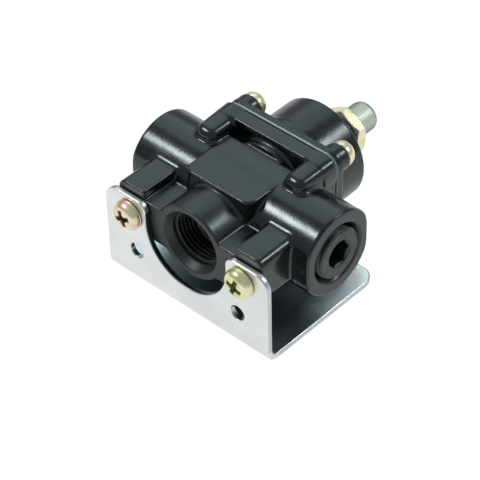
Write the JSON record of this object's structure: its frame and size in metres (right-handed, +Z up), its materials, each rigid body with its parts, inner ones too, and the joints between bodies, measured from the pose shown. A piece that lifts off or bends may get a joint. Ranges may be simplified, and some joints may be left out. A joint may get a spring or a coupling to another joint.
{
  "type": "fuel pressure regulator",
  "caption": "Adjustable fuel pressure regulator with a front inlet, side outlets, a diaphragm housing and a locked adjusting screw, on a bent-sheet bracket.",
  "frame": {"origin": "on the bracket's underside, straight below the point where the outlet axis crosses the axis of inlet, valve and diaphragm", "axes": "+X along the outlets towards the plugged one, +Y from the inlet towards the spring cover and adjusting screw, +Z up"},
  "size_m": [0.0704, 0.0843, 0.0451],
  "materials": {
    "black_casting": "black coating over die casting, satin to glossy",
    "clear_zinc": "bright clear zinc plate on steel",
    "yellow_zinc": "pale yellow, faintly iridescent zinc chromate on steel",
    "plain_steel": "dark oiled steel",
    "grey_zinc": "dull grey-green zinc plate on steel",
    "brass": "machined brass",
    "rubber": "matt fuel-resistant rubber",
    "fibre": "matt vulcanised fibre"
  },
  "bodies": {
    "regulator": {"regulator_body": "black_casting", "mounting_bracket": "clear_zinc", "bracket_screw_left": "yellow_zinc", "bracket_screw_right": "yellow_zinc", "outlet_plug": "plain_steel", "spring_cover": "black_casting", "cover_screw_upper_left": "yellow_zinc", "cover_screw_upper_right": "yellow_zinc", "cover_screw_lower_left": "yellow_zinc", "cover_screw_lower_right": "yellow_zinc", "diaphragm": "rubber", "pressure_spring": "plain_steel", "valve_seat": "brass", "seat_washer": "fibre", "valve_spring": "plain_steel", "valve_cage": "brass"},
    "diaphragm_stack": {"diaphragm_plate_front": "clear_zinc", "diaphragm_plate_back": "clear_zinc", "diaphragm_rivet": "plain_steel"},
    "valve": {"inlet_valve": "brass", "valve_facing": "rubber"},
    "spring_button": {"spring_button": "clear_zinc"},
    "adjusting_screw": {"adjusting_screw": "grey_zinc"},
    "jam_nut": {"jam_nut": "yellow_zinc"}
  },
  "joints": [
    {"name": "diaphragm_travel", "type": "slide", "parent": "regulator", "child": "diaphragm_stack", "axis": [0, 1, 0], "range_m": [0, 0.001], "stiffness_N_per_m": 300, "springref_m": -0.002, "deforming": ["diaphragm", "pressure_spring"]},
    {"name": "valve_travel", "type": "slide", "parent": "regulator", "child": "valve", "axis": [0, 1, 0], "range_m": [0, 0.001], "deforming": ["valve_spring"]},
    {"name": "adjuster_travel", "type": "slide", "parent": "regulator", "child": "spring_button", "axis": [0, 1, 0], "range_m": [-0.0032, 0.0011], "deforming": ["pressure_spring"]},
    {"name": "adjuster_turn", "type": "hinge", "parent": "spring_button", "child": "adjusting_screw", "pos_m": [0, 0.0291, 0.02685], "axis": [0, 1, 0], "range_deg": [-1080, 360]},
    {"name": "jam_nut_turn", "type": "hinge", "parent": "regulator", "child": "jam_nut", "pos_m": [0, 0.0412, 0.02685], "axis": [0, 1, 0], "range_deg": [0, 90]}
  ],
  "couplings": [
    {"joint": "valve_travel", "follows": "diaphragm_travel", "ratio": 1},
    {"joint": "adjuster_travel", "follows": "adjuster_turn", "m_per_rad": 0.00016844}
  ]
}
